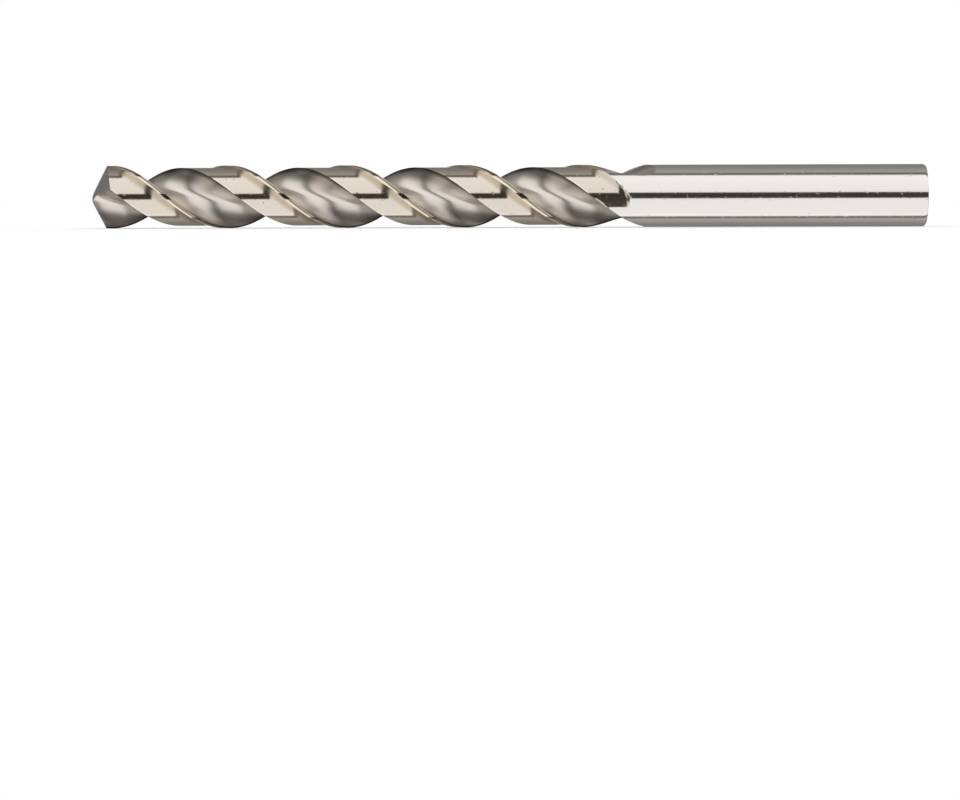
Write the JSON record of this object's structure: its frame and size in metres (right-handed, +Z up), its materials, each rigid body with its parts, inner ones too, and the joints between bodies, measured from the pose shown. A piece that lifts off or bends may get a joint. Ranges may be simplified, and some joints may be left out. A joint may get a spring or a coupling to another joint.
{
  "type": "twist drill bit",
  "caption": "Jobber-length twist drill bit of bright ground steel with fast spiral flutes, narrow margins, a wide point and a plain cylindrical shank.",
  "frame": {"origin": "on the surface the drill lies on, under the middle of its length and of its diameter", "axes": "+X along the drill from its point to its shank, +Z up, +Y across"},
  "size_m": [0.133, 0.01, 0.01],
  "materials": {
    "ground_steel": "bright ground high-speed steel, satin in the flutes"
  },
  "bodies": {
    "root": {"twist_drill": "ground_steel"}
  },
  "joints": []
}
